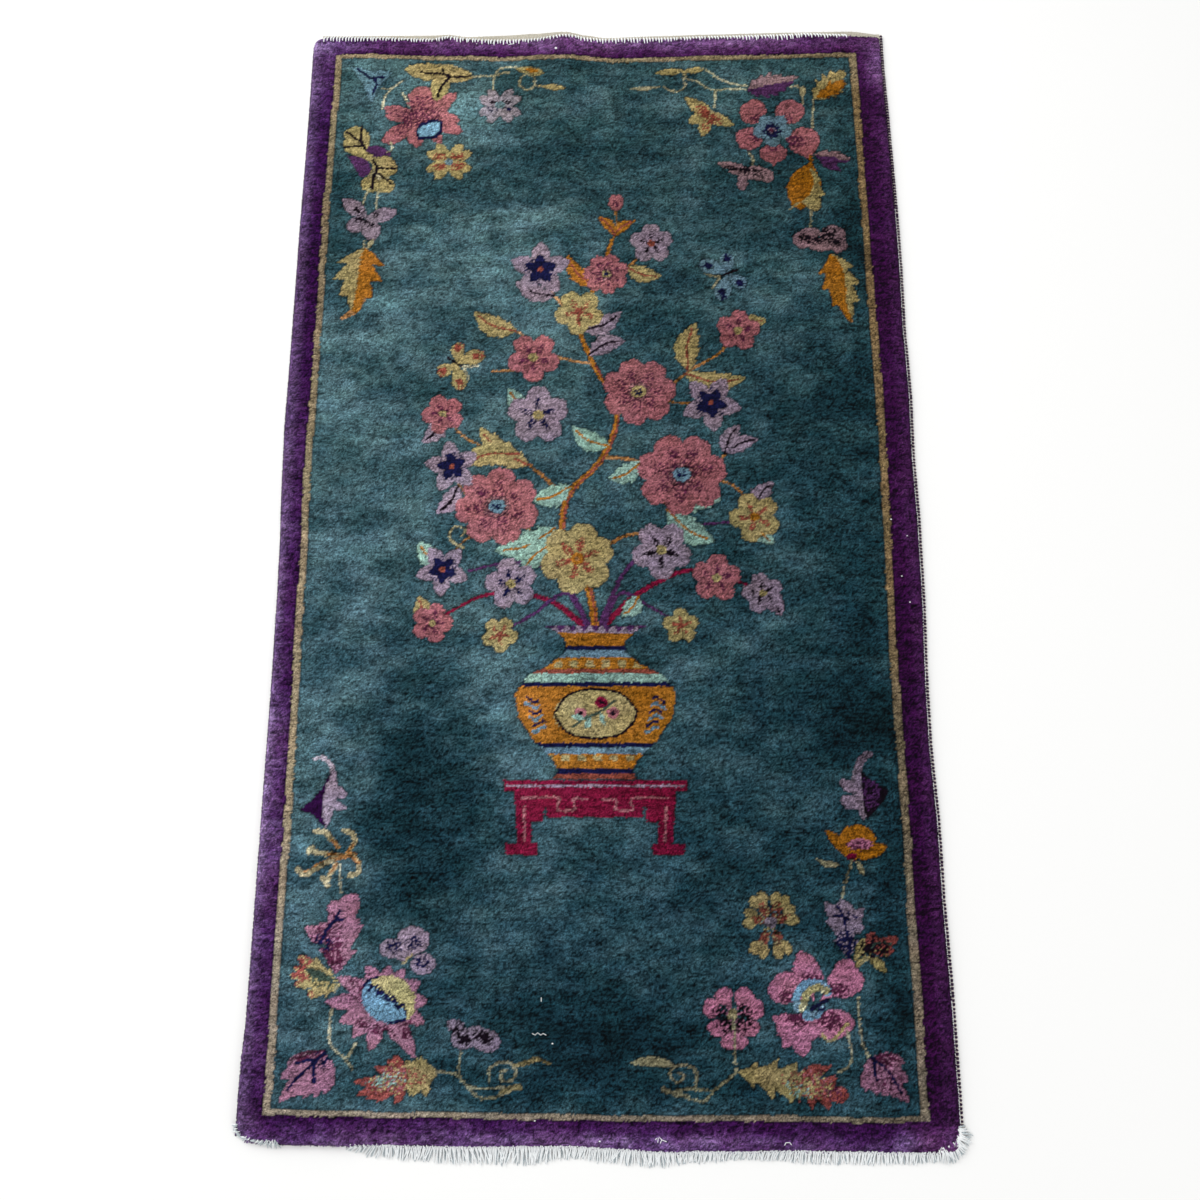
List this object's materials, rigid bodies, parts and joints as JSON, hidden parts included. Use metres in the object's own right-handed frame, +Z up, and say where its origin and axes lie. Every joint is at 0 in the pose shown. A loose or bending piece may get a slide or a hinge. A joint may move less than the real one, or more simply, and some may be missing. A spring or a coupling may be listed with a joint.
{
  "type": "hand-knotted wool rug",
  "caption": "Oblong knotted wool rug lying flat: clipped pile with border and flower sprays, overcast sides, woven ends and a short cotton fringe at one end.",
  "frame": {"origin": "middle of the bounding box, on the surface that the rug lies on", "axes": "+Z up out of the pile, +Y along the rug away from the fringed end, +X across it"},
  "size_m": [0.9248, 1.647, 0.012],
  "materials": {
    "wool_pile": "clipped wool pile, matt with a soft sheen",
    "overcast_wool": "dyed wool overcast on a cotton cord",
    "cotton_web": "undyed cotton, plain woven, worn",
    "cotton_fringe": "undyed cotton warp ends, twisted"
  },
  "bodies": {
    "root": {"rug_body": "wool_pile", "selvage_left": "overcast_wool", "selvage_right": "overcast_wool", "web_far": "cotton_web", "web_near": "cotton_web", "fringe_near": "cotton_fringe"}
  },
  "joints": []
}
